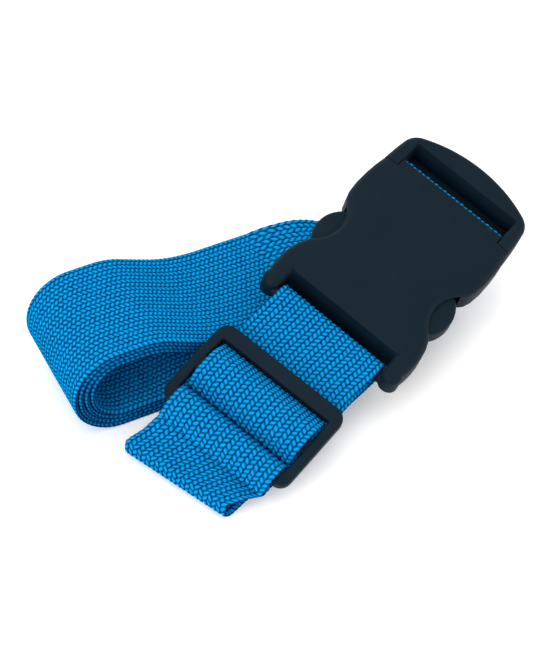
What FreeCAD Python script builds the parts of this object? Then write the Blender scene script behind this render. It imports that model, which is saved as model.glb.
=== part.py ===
import FreeCAD, Part
import Sketcher
import math
import os

# Luggage strap: one length of 50 mm webbing, rolled flat, with a side-release
# buckle and a three-bar slide adjuster. Millimetres, +Z up, +X along the buckle,
# origin on the surface that the strap lies on, below the middle of its box.

doc = FreeCAD.newDocument("luggage_strap")
Vector = FreeCAD.Vector

# ---------------------------------------------------------------- dimensions

sizes = {
    "webbing_width": 50.0,
    "webbing_thickness": 1.6,
    "layer_gap": 0.25,
    "fit_clearance": 0.3,
    # side-release buckle, in its own frame: x from the front edge of the top
    # plate towards the plug, y to the left, z = 0 on the top face
    "buckle_thickness": 13.5,
    "shell_side": 7.2,
    "shell_length": 63.6,
    "shell_wall": 2.2,
    "shell_lip": 8.0,
    "cavity_side": 4.0,
    "cavity_start": 3.0,
    "wing_length": 13.3,
    "wing_room": 3.2,
    "wing_round": 5.0,
    "bar_setback": 8.6,
    "bar_radius": 2.6,
    "window_start": 12.5,
    "window_end": 38.0,
    "window_depth": 7.0,
    "plug_side": 6.0,
    "plug_reach": 91.5,
    "plug_end_radius": 60.0,
    "plug_corner": 5.0,
    "plug_slot_end": 81.5,
    "slot_ledge": 3.3,
    "crossbar_position": 68.0,
    "crossbar_radius": 2.8,
    "crossbar_drop": 0.6,
    "slot_front_room": 1.4,
    "mouth_room": 3.0,
    "neck_start": 54.0,
    "neck_side": 3.5,
    "tongue_tip": 20.0,
    "tongue_half_width": 6.0,
    "tongue_thickness": 3.6,
    "tail_start": 42.0,
    "tail_drop": 0.6,
    "strand_gap": 0.05,
    "latch_tip": 15.4,
    "latch_shoulder": 37.0,
    "latch_side": 8.0,
    "latch_inset": 2.5,
    "latch_play": 0.35,
    "arm_thickness": 3.4,
    "arm_height": 6.0,
    # three-bar slide adjuster, in its own frame, centred
    "adjuster_length": 39.0,
    "adjuster_side": 4.2,
    "adjuster_thickness": 4.4,
    "adjuster_corner": 5.0,
    "slot_room": 1.6,
    "adjuster_slot_length": 9.8,
    "centre_bar_length": 6.6,
    # the webbing over the bars: where each hump's foot and shoulder lie, from
    # the end of the slot or the edge of the bar beside it
    "hump_right_foot": 3.6,
    "hump_right_shoulder": 1.3,
    "hump_left_shoulder": 2.1,
    "hump_left_foot": 4.3,
    "end_right_foot": 2.8,
    "end_right_shoulder": 1.1,
    "end_left_shoulder": 1.7,
    "end_left_foot": 5.1,
    "hump_radius": 2.5,
    "hump_low_radius": 2.0,
    "upper_run_start": -24.0,
    "lower_run_start": -15.0,
    "run_straight": 7.0,
    "run_bend": 30.0,
    # how the pieces lie
    "buckle_x": 12.6,
    "strap_line": 0.4,
    "edge_below_roll": 8.78,
    "buckle_azimuth": 4.0,
    "buckle_rise": 7.0,
    "buckle_fall": 19.0,
    "adjuster_x": -38.8,
    "adjuster_over_roll": 3.2,
    "adjuster_azimuth": 2.0,
    "adjuster_rise": 13.0,
    "adjuster_fall": 16.0,
    "roll_azimuth": -21.0,
    "roll_tuck": 7.5,
    "roll_nose": 15.2,
    "roll_right": 50.0,
    "outer_lap_end": 8.0,
    "roll_height": 39.6,
    "roll_shoulder_x": -25.0,
    "roll_shoulder_height": 26.0,
    "roll_slack": 1.4,
    "roll_slope_end": 58.0,
    "roll_layer_step": 2.4,
    "shoulder_radius": 60.0,
    "crest_radius": 25.0,
    "ramp_length": 11.0,
    "ramp_radius": 20.0,
    "outer_bend_reach": 10.2,
    "inner_bend_reach": 7.4,
    "bight_reach": 2.4,
    "lead_pull": 0.9,
    "lead_rise": 0.16,
    "floor_run_azimuth": 3.0,
    "fold_x": -74.4,
    "fold_side": 6.1,
    "fold_radius": 2.4,
    "fold_setback": 3.0,
    "crease_run": 8.0,
    "stitch_pitch": 3.2,
    "stitch_margin": 3.0,
    "thread_width": 0.5,
    "thread_depth": 0.3,
    "row_pitch": 4.0,
}

# Sizes that follow from the ones above, most of them from the webbing's width.
derived = {
    "layer_pitch": "=webbing_thickness + layer_gap",
    "shell_half_width": "=webbing_width / 2 + shell_side",
    "cavity_half_width": "=webbing_width / 2 + cavity_side",
    "wing_gap": "=webbing_width + wing_room",
    "plug_half_width": "=webbing_width / 2 + plug_side",
    "neck_half_width": "=webbing_width / 2 + neck_side",
    "latch_reach": "=webbing_width / 2 + latch_side",
    "latch_inner": "=webbing_width / 2 - latch_inset",
    "adjuster_slot_width": "=webbing_width + slot_room",
    "adjuster_width": "=webbing_width + slot_room + 2 * adjuster_side",
    "buckle_y": "=-webbing_width / 2 - strap_line",
    "adjuster_y": "=-webbing_width / 2 - strap_line",
    "fold_y": "=fold_side - webbing_width / 2",
    "roll_offset": "=webbing_width / 2 - roll_tuck",
    "roll_crest_x": "=roll_shoulder_x - 2 * (roll_height - roll_shoulder_height)",
    "roll_left": "=roll_crest_x - roll_height / 2 - roll_nose",
    "roll_end_height": "=8 * layer_pitch + webbing_thickness + roll_slack",
    "latch_height": "=buckle_thickness - 2 * shell_wall - 2 * latch_play",
    "foot_lift": "=webbing_thickness / 2 - 0.5",
    "buckle_over_roll": "=shell_half_width * sin(buckle_fall) - edge_below_roll",
    "buckle_z": "=roll_end_height + buckle_over_roll + buckle_thickness",
    "adjuster_z": "=roll_end_height + adjuster_over_roll",
}

sheet = doc.addObject("Spreadsheet::Sheet", "dimensions")
for row, (alias, value) in enumerate({**sizes, **derived}.items(), start=1):
    sheet.set(f"A{row}", alias)
    sheet.set(f"B{row}", str(value))
    sheet.setAlias(f"B{row}", alias)
doc.recompute()


def size(alias):
    """A driving dimension, read from the spreadsheet."""
    return float(getattr(sheet, alias))


parts = []


def keep(feature, label, placement):
    """Name a finished sub-part and put it where it lies."""
    feature.Label = label
    feature.Placement = placement
    parts.append(feature)
    return feature


# ------------------------------------------------------- how the pieces lie


def lie(x, y, z, azimuth, rise, fall):
    """A placement that points along azimuth, climbs by rise and drops to its right by fall."""
    turn = FreeCAD.Rotation(Vector(0, 0, 1), azimuth)
    climb = FreeCAD.Rotation(Vector(0, 1, 0), -rise)
    lean = FreeCAD.Rotation(Vector(1, 0, 0), fall)
    return FreeCAD.Placement(Vector(x, y, z), turn.multiply(climb).multiply(lean))


def lie_of(name):
    """The placement that the sheet gives for the buckle or the adjuster."""
    keys = ("x", "y", "z", "azimuth", "rise", "fall")
    return lie(*(size(f"{name}_{key}") for key in keys))


buckle = lie_of("buckle")
adjuster = lie_of("adjuster")
roll = lie(0, 0, 0, size("roll_azimuth"), 0, 0)
roll.Base = roll.multVec(Vector(0, size("roll_offset"), 0))
flat = FreeCAD.Placement()

# ------------------------------------------- primitives bound to the sheet


def bind(feature, **expressions):
    """Bind properties to expressions; a double underscore stands for a dot."""
    for name, expression in expressions.items():
        feature.setExpression(name.replace("__", "."), expression)
    return feature


def box(name, x, y, z, length, width, height):
    """A box whose lowest corner and sides are expressions on the sheet."""
    return bind(
        doc.addObject("Part::Box", name),
        Length=length, Width=width, Height=height,
        Placement__Base__x=x, Placement__Base__y=y, Placement__Base__z=z,
    )


def post(name, x, y, z, radius, height):
    """An upright cylinder."""
    return bind(
        doc.addObject("Part::Cylinder", name),
        Radius=radius, Height=height,
        Placement__Base__x=x, Placement__Base__y=y, Placement__Base__z=z,
    )


def bar(name, x, z, radius, length):
    """A cylinder that lies across, centred on y = 0."""
    rod = doc.addObject("Part::Cylinder", name)
    rod.Placement = FreeCAD.Placement(Vector(0, 0, 0), FreeCAD.Rotation(Vector(1, 0, 0), 90))
    return bind(
        rod, Radius=radius, Height=length,
        Placement__Base__x=x, Placement__Base__y=f"({length}) / 2", Placement__Base__z=z,
    )


def fuse(name, shapes):
    joined = doc.addObject("Part::MultiFuse", name)
    joined.Shapes = shapes
    joined.Refine = True
    return joined


def cut(name, base, tools):
    """Cut each tool from base in turn."""
    for number, tool in enumerate(tools):
        left = doc.addObject("Part::Cut", f"{name}_{number}")
        left.Base = base
        left.Tool = tool
        base = left
    return base


def common(name, first, second):
    both = doc.addObject("Part::Common", name)
    both.Base = first
    both.Tool = second
    return both


def round_edges(name, base, radius, chosen):
    """Round the edges of base for which chosen(edge) is true."""
    doc.recompute()
    rounded = doc.addObject("Part::Fillet", name)
    rounded.Base = base
    edges = enumerate(base.Shape.Edges, start=1)
    rounded.Edges = [(number, radius, radius) for number, edge in edges if chosen(edge)]
    return rounded


def upright(edge):
    """True for a straight edge along z."""
    if not isinstance(edge.Curve, Part.Line):
        return False
    return abs(abs(edge.Curve.Direction.z) - 1) < 1e-6


# ---------------------------------------------------- female shell of the buckle

D = "dimensions."
thickness = f"{D}buckle_thickness"

wing_blocks = []
for side, name in ((1, "left"), (-1, "right")):
    inner = f"{D}wing_gap / 2"
    corner = inner if side > 0 else f"-{D}shell_half_width"
    wing_blocks.append(
        box(
            f"wing_{name}", f"-{D}wing_length", corner, f"-{thickness}",
            f"{D}wing_length + {D}wing_round", f"{D}shell_half_width - {D}wing_gap / 2", thickness,
        )
    )

shell_body = box(
    "shell_body", "0", f"-{D}shell_half_width", f"-{thickness}",
    f"{D}shell_length", f"2 * {D}shell_half_width", thickness,
)
shell_lip = box(
    "shell_lip_plate", f"{D}shell_length - 1", f"{D}fit_clearance - {D}adjuster_slot_width / 2",
    f"-{D}shell_wall", f"{D}shell_lip + 1",
    f"{D}adjuster_slot_width - 2 * {D}fit_clearance", f"{D}shell_wall",
)
shell_blank = fuse("shell_blank", [shell_body, *wing_blocks])


def wing_corner(edge):
    """The upright edges at the outer ends of the wings."""
    return upright(edge) and edge.BoundBox.XMin < -0.9 * size("wing_length")


shell_round = round_edges("shell_round", shell_blank, 0.5 * size("wing_round"), wing_corner)

cavity = box(
    "shell_cavity", f"{D}cavity_start", f"-{D}cavity_half_width", f"{D}shell_wall - {thickness}",
    f"{D}shell_length", f"2 * {D}cavity_half_width", f"{thickness} - 2 * {D}shell_wall",
)
under_mouth = box(
    "under_mouth", f"{D}crossbar_position - {D}crossbar_radius - {D}webbing_thickness - {D}mouth_room",
    f"-{D}adjuster_slot_width / 2", f"-{thickness} - 1",
    f"{D}shell_length", f"{D}adjuster_slot_width", f"{D}shell_wall + 2",
)
windows = []
half_window = f"(({D}window_end - {D}window_start) / 2)"
window_radius = f"(({half_window} ^ 2 + {D}window_depth ^ 2) / (2 * {D}window_depth))"
for side in (1, -1):
    windows.append(
        post(
            f"window_{'left' if side > 0 else 'right'}",
            f"({D}window_start + {D}window_end) / 2",
            f"{side} * ({D}shell_half_width - {D}window_depth + {window_radius})",
            f"-{thickness} - 1", window_radius, f"{thickness} + 2",
        )
    )
swivel_bar = bar(
    "swivel_bar", f"-{D}bar_setback", f"-{thickness} / 2", f"{D}bar_radius", f"{D}wing_gap + 2",
)
side_openings = box(
    "side_openings", f"{D}latch_tip - 1", f"-{D}shell_half_width - 1",
    f"{D}shell_wall - {thickness}", f"{D}window_end - {D}latch_tip + 1",
    f"2 * {D}shell_half_width + 2", f"{thickness} - 2 * {D}shell_wall",
)
hollow_shell = cut("hollow_shell", shell_round, [cavity, under_mouth, side_openings, *windows])
female_shell = fuse("shell_joined", [hollow_shell, shell_lip, swivel_bar])
doc.recompute()
keep(female_shell, "female_shell", buckle)

# -------------------------------------------------------- plug of the buckle

plug_block = box(
    "plug_block", f"{D}shell_length + {D}fit_clearance", f"-{D}plug_half_width", f"-{thickness}",
    f"{D}plug_reach", f"2 * {D}plug_half_width", thickness,
)
plug_arc = post(
    "plug_arc", f"{D}plug_reach - {D}plug_end_radius", "0", f"-{thickness}",
    f"{D}plug_end_radius", thickness,
)
plug_head = common("plug_head", plug_block, plug_arc)
neck = box(
    "plug_neck", f"{D}neck_start", f"-{D}neck_half_width",
    f"{D}shell_wall + {D}fit_clearance - {thickness}",
    f"{D}shell_length - {D}neck_start + 2", f"2 * {D}neck_half_width",
    f"{thickness} - 2 * {D}shell_wall - 2 * {D}fit_clearance",
)
tongue = box(
    "plug_tongue", f"{D}tongue_tip", f"-{D}tongue_half_width",
    f"-({thickness} + {D}tongue_thickness) / 2", f"{D}neck_start - {D}tongue_tip + 1",
    f"2 * {D}tongue_half_width", f"{D}tongue_thickness",
)


def plug_corner(edge):
    """The upright edges where the plug's sides meet its curved end."""
    return upright(edge) and edge.BoundBox.XMin > size("shell_length") + 2


plug_round = round_edges("plug_round", plug_head, size("plug_corner"), plug_corner)
plug_blank = fuse("plug_blank", [plug_round, neck, tongue])
loop_room = f"({D}crossbar_radius + {D}webbing_thickness + {D}slot_front_room)"
plug_slot = box(
    "plug_slot", f"{D}crossbar_position - {loop_room}", f"-{D}adjuster_slot_width / 2",
    f"-{thickness} - 1", f"{D}plug_slot_end - {D}crossbar_position + {loop_room}",
    f"{D}adjuster_slot_width", f"{thickness} + 2",
)
crossbar_depth = f"({thickness} / 2 + {D}crossbar_drop)"
crossbar = bar(
    "plug_crossbar", f"{D}crossbar_position", f"-{crossbar_depth}",
    f"{D}crossbar_radius", f"{D}adjuster_slot_width + 2",
)
slot_ledge = box(
    "slot_ledge_block", f"{D}plug_slot_end - {D}slot_ledge", f"-{D}adjuster_slot_width / 2 - 1",
    f"-{thickness}", f"{D}slot_ledge + 1", f"{D}adjuster_slot_width + 2", f"{D}shell_wall",
)
plug_open = cut("plug_open", plug_blank, [plug_slot])
plug = fuse("plug_joined", [plug_open, crossbar, slot_ledge])
doc.recompute()
keep(plug, "plug_body", buckle)

# ------------------------------------------------------------------- latches
# Each latch is a springy arm from the neck with a thumb button at its end.

button_half = f"(({D}latch_shoulder - {D}latch_tip) / 2)"
button_bulge = f"({D}latch_reach - {D}cavity_half_width + 1)"
button_radius = f"(({button_half} ^ 2 + {button_bulge} ^ 2) / (2 * {button_bulge}))"
for side, name in ((1, "left"), (-1, "right")):
    block_y = f"{D}latch_inner" if side > 0 else f"-{D}latch_reach - 1"
    button_block = box(
        f"button_block_{name}", f"{D}latch_tip", block_y,
        f"-({thickness} + {D}latch_height) / 2",
        f"{D}latch_shoulder - {D}latch_tip", f"{D}latch_reach + 1 - {D}latch_inner",
        f"{D}latch_height",
    )
    button_arc = post(
        f"button_arc_{name}", f"({D}latch_shoulder + {D}latch_tip) / 2",
        f"{side} * ({D}latch_reach - {button_radius})",
        f"-({thickness} + {D}latch_height) / 2", button_radius, f"{D}latch_height",
    )
    button = common(f"button_{name}", button_block, button_arc)
    arm_y = f"{D}latch_inner" if side > 0 else f"-{D}latch_inner - {D}arm_thickness"
    arm = box(
        f"arm_{name}", f"{D}latch_shoulder - 4", arm_y, f"-({thickness} + {D}arm_height) / 2",
        f"{D}neck_start - 2 * {D}fit_clearance - {D}latch_shoulder + 4", f"{D}arm_thickness",
        f"{D}arm_height",
    )
    latch = fuse(f"latch_joined_{name}", [button, arm])
    doc.recompute()
    keep(latch, f"latch_{name}", buckle)

# ------------------------------------------------------------ slide adjuster


def plane_of(body, role):
    """One of the body's own origin planes."""
    return next(item for item in body.Origin.OriginFeatures if item.Role == role)


def sketch_rectangle(body, name, length, width, x):
    """A rectangle centred on y = 0 and on x, its sizes bound to the sheet."""
    sketch = body.newObject("Sketcher::SketchObject", name)
    sketch.AttachmentSupport = [(plane_of(body, "XY_Plane"), "")]
    sketch.MapMode = "FlatFace"
    corners = [Vector(-1, -1, 0), Vector(1, -1, 0), Vector(1, 1, 0), Vector(-1, 1, 0)]
    for start, end in zip(corners, corners[1:] + corners[:1]):
        sketch.addGeometry(Part.LineSegment(start, end), False)
    for line in range(4):
        sketch.addConstraint(Sketcher.Constraint("Coincident", line, 2, (line + 1) % 4, 1))
    for line, way in enumerate(("Horizontal", "Vertical", "Horizontal", "Vertical")):
        sketch.addConstraint(Sketcher.Constraint(way, line))
    named = (
        ("DistanceX", (0, 1, 0, 2), "length", 2.0, length),
        ("DistanceY", (1, 1, 1, 2), "width", 2.0, width),
        ("DistanceX", (-1, 1, 1, 1), "right", 1.0, f"{x} + ({length}) / 2"),
        ("DistanceY", (0, 1, -1, 1), "below", 1.0, f"({width}) / 2"),
    )
    for kind, where, label, value, expression in named:
        number = sketch.addConstraint(Sketcher.Constraint(kind, *where, value))
        sketch.renameConstraint(number, label)
        sketch.setExpression(f"Constraints.{label}", expression)
    return sketch


frame_body = doc.addObject("PartDesign::Body", "frame_body")
outline = sketch_rectangle(
    frame_body, "frame_outline", f"{D}adjuster_length", f"{D}adjuster_width", "0"
)
frame_pad = frame_body.newObject("PartDesign::Pad", "frame_pad")
frame_pad.Profile = outline
frame_pad.SideType = "Symmetric"
bind(frame_pad, Length=f"{D}adjuster_thickness")
doc.recompute()
solid_volume = frame_pad.Shape.Volume
for side, name in ((1, "upper"), (-1, "lower")):
    centre = f"{side} * ({D}centre_bar_length + {D}adjuster_slot_length) / 2"
    slot_sketch = sketch_rectangle(
        frame_body, f"{name}_slot", f"{D}adjuster_slot_length", f"{D}adjuster_slot_width", centre
    )
    slot = frame_body.newObject("PartDesign::Pocket", f"{name}_slot_cut")
    slot.Profile = slot_sketch
    slot.Type = "ThroughAll"
    slot.SideType = "Symmetric"
    doc.recompute()
    if slot.Shape.Volume > solid_volume - 1:
        raise RuntimeError(f"the {name} slot cut nothing")
    solid_volume = slot.Shape.Volume
corner_edges = []
for number, edge in enumerate(frame_body.Tip.Shape.Edges, start=1):
    at_side = edge.BoundBox.YMax > 0.49 * size("adjuster_width")
    at_side = at_side or edge.BoundBox.YMin < -0.49 * size("adjuster_width")
    if upright(edge) and at_side:
        corner_edges.append(f"Edge{number}")
corners = frame_body.newObject("PartDesign::Fillet", "frame_corners")
corners.Base = (slot, corner_edges)
bind(corners, Radius=f"{D}adjuster_corner")
frame_body.Tip = corners
doc.recompute()
keep(frame_body, "adjuster_frame", adjuster)

# ------------------------------------------------------------------- webbing
# A stretch of webbing is a band of constant thickness round a route of
# straight runs and tangent arcs, as wide as the webbing.

WIDTH = size("webbing_width")
THICK = size("webbing_thickness")
PITCH = size("layer_pitch")
GAP = size("fit_clearance")


def unit(v):
    return v.multiply(1 / v.Length) if v.Length else v


def band_face(points, radii, thick):
    """The outline of a band: points are (x, z), radii one for each inner point."""
    route = [Vector(x, 0, z) for x, z in points]
    ways = [unit(b - a) for a, b in zip(route, route[1:])]
    sides = [Vector(-way.z, 0, way.x) for way in ways]
    rims = []
    for offset in (thick / 2, -thick / 2):
        edges = []
        at = route[0] + sides[0] * offset
        for i, radius in enumerate(radii, start=1):
            before, after = ways[i - 1], ways[i]
            turn = before.x * after.z - before.z * after.x
            angle = before.getAngle(after)
            tangent = radius * math.tan(angle / 2)
            hand = 1 if turn > 0 else -1
            start = route[i] - before * tangent
            centre = start + sides[i - 1] * (hand * radius)
            reach = radius - hand * offset
            out = unit(route[i] - centre)
            first = start + sides[i - 1] * offset
            last = route[i] + after * tangent + sides[i] * offset
            edges.append(Part.LineSegment(at, first).toShape())
            edges.append(Part.Arc(first, centre + out * reach, last).toShape())
            at = last
        end = route[-1] + sides[-1] * offset
        edges.append(Part.LineSegment(at, end).toShape())
        rims.append((edges, route[0] + sides[0] * offset, end))
    (left, left_start, left_end), (right, right_start, right_end) = rims
    caps = [
        Part.LineSegment(left_start, right_start).toShape(),
        Part.LineSegment(left_end, right_end).toShape(),
    ]
    return Part.Face(Part.Wire(Part.__sortEdges__(left + right + caps)))


def band(label, points, radii, placement, width=WIDTH, thick=THICK, shift=0):
    """A band of webbing across y, centred on shift."""
    face = band_face(points, radii, thick)
    face.translate(Vector(0, shift - width / 2, 0))
    piece = doc.addObject("Part::Feature", label)
    piece.Shape = face.extrude(Vector(0, width, 0))
    return keep(piece, label, placement)


def section(placement, width=WIDTH, thick=THICK):
    """A cross-section of the webbing, in the plane of the placement's y and z axes."""
    corners = [(-1, -1), (1, -1), (1, 1), (-1, 1), (-1, -1)]
    points = [Vector(0, y * width / 2, z * thick / 2) for y, z in corners]
    return Part.makePolygon([placement.multVec(p) for p in points])


def twisted(label, stations):
    """A stretch of webbing that twists as it goes from one station to the next."""
    piece = doc.addObject("Part::Feature", label)
    wires = [section(*station) for station in stations]
    piece.Shape = Part.makeLoft(wires, True, True)
    return keep(piece, label, flat)


# The roll: four laps inside each other, each over the left-hand loop.
left = size("roll_left")
right = size("roll_right")
top = size("roll_height") - THICK / 2
end_top = size("roll_end_height") - THICK / 2
shoulder_x = size("roll_shoulder_x")
crest_x = size("roll_crest_x")
shoulder = size("roll_shoulder_height") - THICK / 2
slope = (shoulder - end_top) / (size("roll_slope_end") - shoulder_x)
over_floor_run = THICK + GAP
LAPS = 4
for lap in range(LAPS):
    inset = lap * PITCH
    lap_left = left + THICK / 2 + lap * size("roll_layer_step")
    high = top - inset
    low = THICK / 2 + inset
    lap_right = right if lap else size("outer_lap_end")
    lap_end = end_top + slope * (size("roll_slope_end") - lap_right) - inset
    loop_radius = (high - low) / 2 - 0.3
    raised = low + over_floor_run
    route = [
        (lap_right, lap_end), (shoulder_x, shoulder - inset), (crest_x, high), (lap_left, high),
        (lap_left, low), (crest_x, low), (crest_x + size("ramp_length"), raised), (right, raised),
    ]
    radii = [
        size("shoulder_radius"), size("crest_radius"), loop_radius, loop_radius,
        size("ramp_radius"), size("ramp_radius"),
    ]
    band(f"roll_lap_{lap + 1}", route, radii, roll)

# Bends at the right-hand end of the roll: lap 1 into lap 3, lap 2 into lap 4,
# and the middle bight where laps 3 and 4 meet.
raised_floor = THICK / 2 + over_floor_run
start = right + GAP


def bend(label, below, above, reach, slack):
    """A bend beyond the right-hand end of the laps, from the height below to the height above."""
    corners = [(start, below), (start + reach, below), (start + reach, above), (start, above)]
    bend_radius = (above - below) / 2 - slack
    return band(label, corners, [bend_radius, bend_radius], roll)


end_height = end_top + slope * (size("roll_slope_end") - right)
bend("roll_bend_outer", raised_floor, end_height - 2 * PITCH, size("outer_bend_reach"), 0.2)
bend("roll_bend_inner", raised_floor + PITCH, end_height - 3 * PITCH, size("inner_bend_reach"), 0.2)
bend("roll_bight", raised_floor + 2 * PITCH, raised_floor + 3 * PITCH, size("bight_reach"), 0.02)


# Lap 2 goes on to the right, turns over a slanting crease and comes back on the
# surface below, as the run that lies under the adjuster.
ROLL_WAY = size("roll_azimuth")
FLOOR_WAY = size("floor_run_azimuth") + 180.0
crease = (ROLL_WAY + FLOOR_WAY) / 2
skew = math.radians(90.0 - (crease - ROLL_WAY))
bend_high = end_height - PITCH
bend_low = THICK / 2
bend_radius = (bend_high - bend_low) / 2
along = FreeCAD.Rotation(Vector(0, 0, 1), crease).multVec(Vector(1, 0, 0))
outward = FreeCAD.Rotation(Vector(0, 0, 1), crease - 90.0).multVec(Vector(1, 0, 0))
drift = math.pi * bend_radius * math.tan(skew)


def heading(degrees):
    return FreeCAD.Rotation(Vector(0, 0, 1), degrees).multVec(Vector(1, 0, 0))


# where lap 2 meets the crease, so that the run below passes through the fold
roll_point = roll.Base
fold_point = Vector(size("fold_x"), size("fold_y"), 0)
run_side = heading(FLOOR_WAY + 90.0)
gap_to_run = (fold_point - roll_point + along * drift * -1).dot(run_side)
reach = gap_to_run / heading(ROLL_WAY).dot(run_side)
bend_start = roll_point + heading(ROLL_WAY) * reach
end_of_lap = FreeCAD.Placement(Vector(right + GAP, 0, bend_high), FreeCAD.Rotation())
stations = [(roll.multiply(end_of_lap),)]
for step in range(7):
    angle = math.pi * step / 6
    middle = Vector(0, 0, bend_low + bend_radius)
    centre = bend_start + middle + outward * (bend_radius * math.sin(angle))
    centre += Vector(0, 0, bend_radius * math.cos(angle)) + along * (drift * angle / math.pi)
    ahead = outward * math.cos(angle) - Vector(0, 0, math.sin(angle))
    outer = outward * math.sin(angle) + Vector(0, 0, math.cos(angle))
    turned = FreeCAD.Rotation(ahead, along, outer, "XZY")
    stations.append((FreeCAD.Placement(centre, turned), WIDTH / math.cos(skew)))
square_at = bend_start + along * drift + Vector(0, 0, bend_low)
square_at += heading(FLOOR_WAY) * size("crease_run")
last = FreeCAD.Rotation(heading(FLOOR_WAY), along, Vector(0, 0, -1), "XZY")
stations.append((FreeCAD.Placement(square_at, last),))
twisted("floor_bend", stations)

run_start = square_at
run_end = fold_point - heading(FLOOR_WAY) * size("fold_setback")
run_length = (run_end - run_start).dot(heading(FLOOR_WAY))
run_place = FreeCAD.Placement(
    Vector(run_start.x, run_start.y, 0), FreeCAD.Rotation(Vector(0, 0, 1), FLOOR_WAY)
)
band("floor_run", [(GAP, bend_low), (run_length, bend_low)], [], run_place)

# The fold at the free end of the floor run: up, over and back to the adjuster.
strap_depth = -(size("adjuster_thickness") / 2 + GAP + THICK / 2)
strap_end = size("upper_run_start")
joined = adjuster.multVec(Vector(strap_end, 0, strap_depth))
fold_radius = size("fold_radius")
fold_centre = run_place.multVec(Vector(run_length + GAP, 0, bend_low + fold_radius))
stations = []
for angle in (0, 45, 90, 135):
    turn = math.radians(angle)
    at = fold_centre + heading(FLOOR_WAY) * (fold_radius * math.sin(turn))
    at -= Vector(0, 0, fold_radius * math.cos(turn))
    stations.append((lie(at.x, at.y, at.z, FLOOR_WAY, angle, 0),))
over = fold_centre * 0.55 + joined * 0.45 + Vector(0, 0, 0.3)
azimuth = size("adjuster_azimuth") + 180.0
rise = 180.0 - size("adjuster_rise")
lean = size("adjuster_fall")
middle_way = (FLOOR_WAY + azimuth) / 2
stations.append((lie(over.x, over.y, over.z, middle_way, 150.0, 0.5 * lean),))
stations.append((lie(joined.x, joined.y, joined.z, azimuth, rise, lean),))
twisted("end_fold", stations)

# Two layers run from the adjuster to the bar between the shell's wings. The
# upper one is the adjustable run and the lower one the fixed end.
bar_height = -size("buckle_thickness") / 2
bar_place = buckle.multVec(Vector(-size("bar_setback"), 0, bar_height))
bar_at = adjuster.inverse().multVec(bar_place)
wrap = size("bar_radius") + GAP + THICK / 2
bend_at = size("adjuster_length") / 2 + size("run_straight")
upper = [
    (strap_end + GAP, strap_depth), (bend_at, strap_depth),
    (bar_at.x - wrap - 1.0, bar_at.z + wrap - 0.4),
]
lower_depth = strap_depth - PITCH
lower = [
    (size("lower_run_start"), lower_depth), (bend_at, lower_depth),
    (bar_at.x - wrap - 1.0, bar_at.z - wrap + 0.4),
]
band("upper_run", upper, [size("run_bend")], adjuster)
band("lower_run", lower, [size("run_bend")], adjuster)

bar_x = -size("bar_setback")
round_bar = wrap - 0.01
band(
    "bar_wrap",
    [
        (bar_x - wrap, bar_height + wrap), (bar_x + wrap, bar_height + wrap),
        (bar_x + wrap, bar_height - wrap), (bar_x - wrap, bar_height - wrap),
    ],
    [round_bar, round_bar], buckle,
)

# The webbing threaded through the adjuster: over the centre bar, and the fixed
# end over the lower bar.
over_bar = size("adjuster_thickness") / 2 + GAP + THICK / 2
foot = -size("adjuster_thickness") / 2 + size("foot_lift")
half_bar = size("centre_bar_length") / 2
slot_end = half_bar + size("adjuster_slot_length")
frame_end = size("adjuster_length") / 2
centre_hump = [
    (slot_end - size("hump_right_foot"), foot), (half_bar + size("hump_right_shoulder"), over_bar),
    (-half_bar - size("hump_left_shoulder"), over_bar), (-half_bar - size("hump_left_foot"), foot),
]
end_hump = [
    (-slot_end + size("end_right_foot"), foot), (-slot_end + size("end_right_shoulder"), over_bar),
    (-frame_end - size("end_left_shoulder"), over_bar),
    (-frame_end - size("end_left_foot"), foot + 0.2),
]
band("centre_hump", centre_hump, [size("hump_radius"), size("hump_low_radius")], adjuster)
band("end_hump", end_hump, [size("hump_low_radius"), size("hump_radius")], adjuster)

# The sewn loop round the plug's crossbar. Both strands leave below the shell.
cross_x = size("crossbar_position")
cross_z = -(size("buckle_thickness") / 2 + size("crossbar_drop"))
loop = size("crossbar_radius") + GAP + THICK / 2
tail_start = size("tail_start")
tail = -size("buckle_thickness") - size("tail_drop") - THICK / 2
second_tail = tail - THICK - size("strand_gap")
round_loop = loop - 0.02
band(
    "plug_loop",
    [
        (tail_start, tail), (cross_x - loop, tail), (cross_x - loop, cross_z + loop),
        (cross_x + loop, cross_z + loop), (cross_x + loop, second_tail), (tail_start, second_tail),
    ],
    [2.5, round_loop, round_loop, 3.5], buckle,
)

# The slack stretch from the roll's outer lap to the sewn loop, swinging
# sideways and leaning over with the buckle.
first_x = size("outer_lap_end") + GAP
first_z = end_top + slope * (size("roll_slope_end") - first_x)
start = roll.multVec(Vector(first_x, 0, first_z))
finish = buckle.multVec(Vector(tail_start - GAP, 0, (tail + second_tail) / 2))
pull = size("lead_pull") * (finish - start).Length
start_way = heading(ROLL_WAY) * pull + Vector(0, 0, size("lead_rise") * pull)
finish_way = buckle.Rotation.multVec(Vector(pull, 0, 0))
stations = []
for step in range(7):
    t = step / 6
    at = start * (2 * t**3 - 3 * t**2 + 1) + finish * (3 * t**2 - 2 * t**3)
    at += start_way * (t**3 - 2 * t**2 + t) + finish_way * (t**3 - t**2)
    way = start * (6 * t**2 - 6 * t) + finish * (6 * t - 6 * t**2)
    way += start_way * (3 * t**2 - 4 * t + 1) + finish_way * (3 * t**2 - 2 * t)
    azimuth = math.degrees(math.atan2(way.y, way.x))
    rise = math.degrees(math.asin(way.z / way.Length))
    lean = size("buckle_fall") * (3 * t**2 - 2 * t**3)
    stations.append((lie(at.x, at.y, at.z, azimuth, rise, lean),))
twisted("lead_in", stations)

# ----------------------------------------------------------------- stitching
# Lock stitches across the sewn ends, each a short length of thread.


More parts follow.
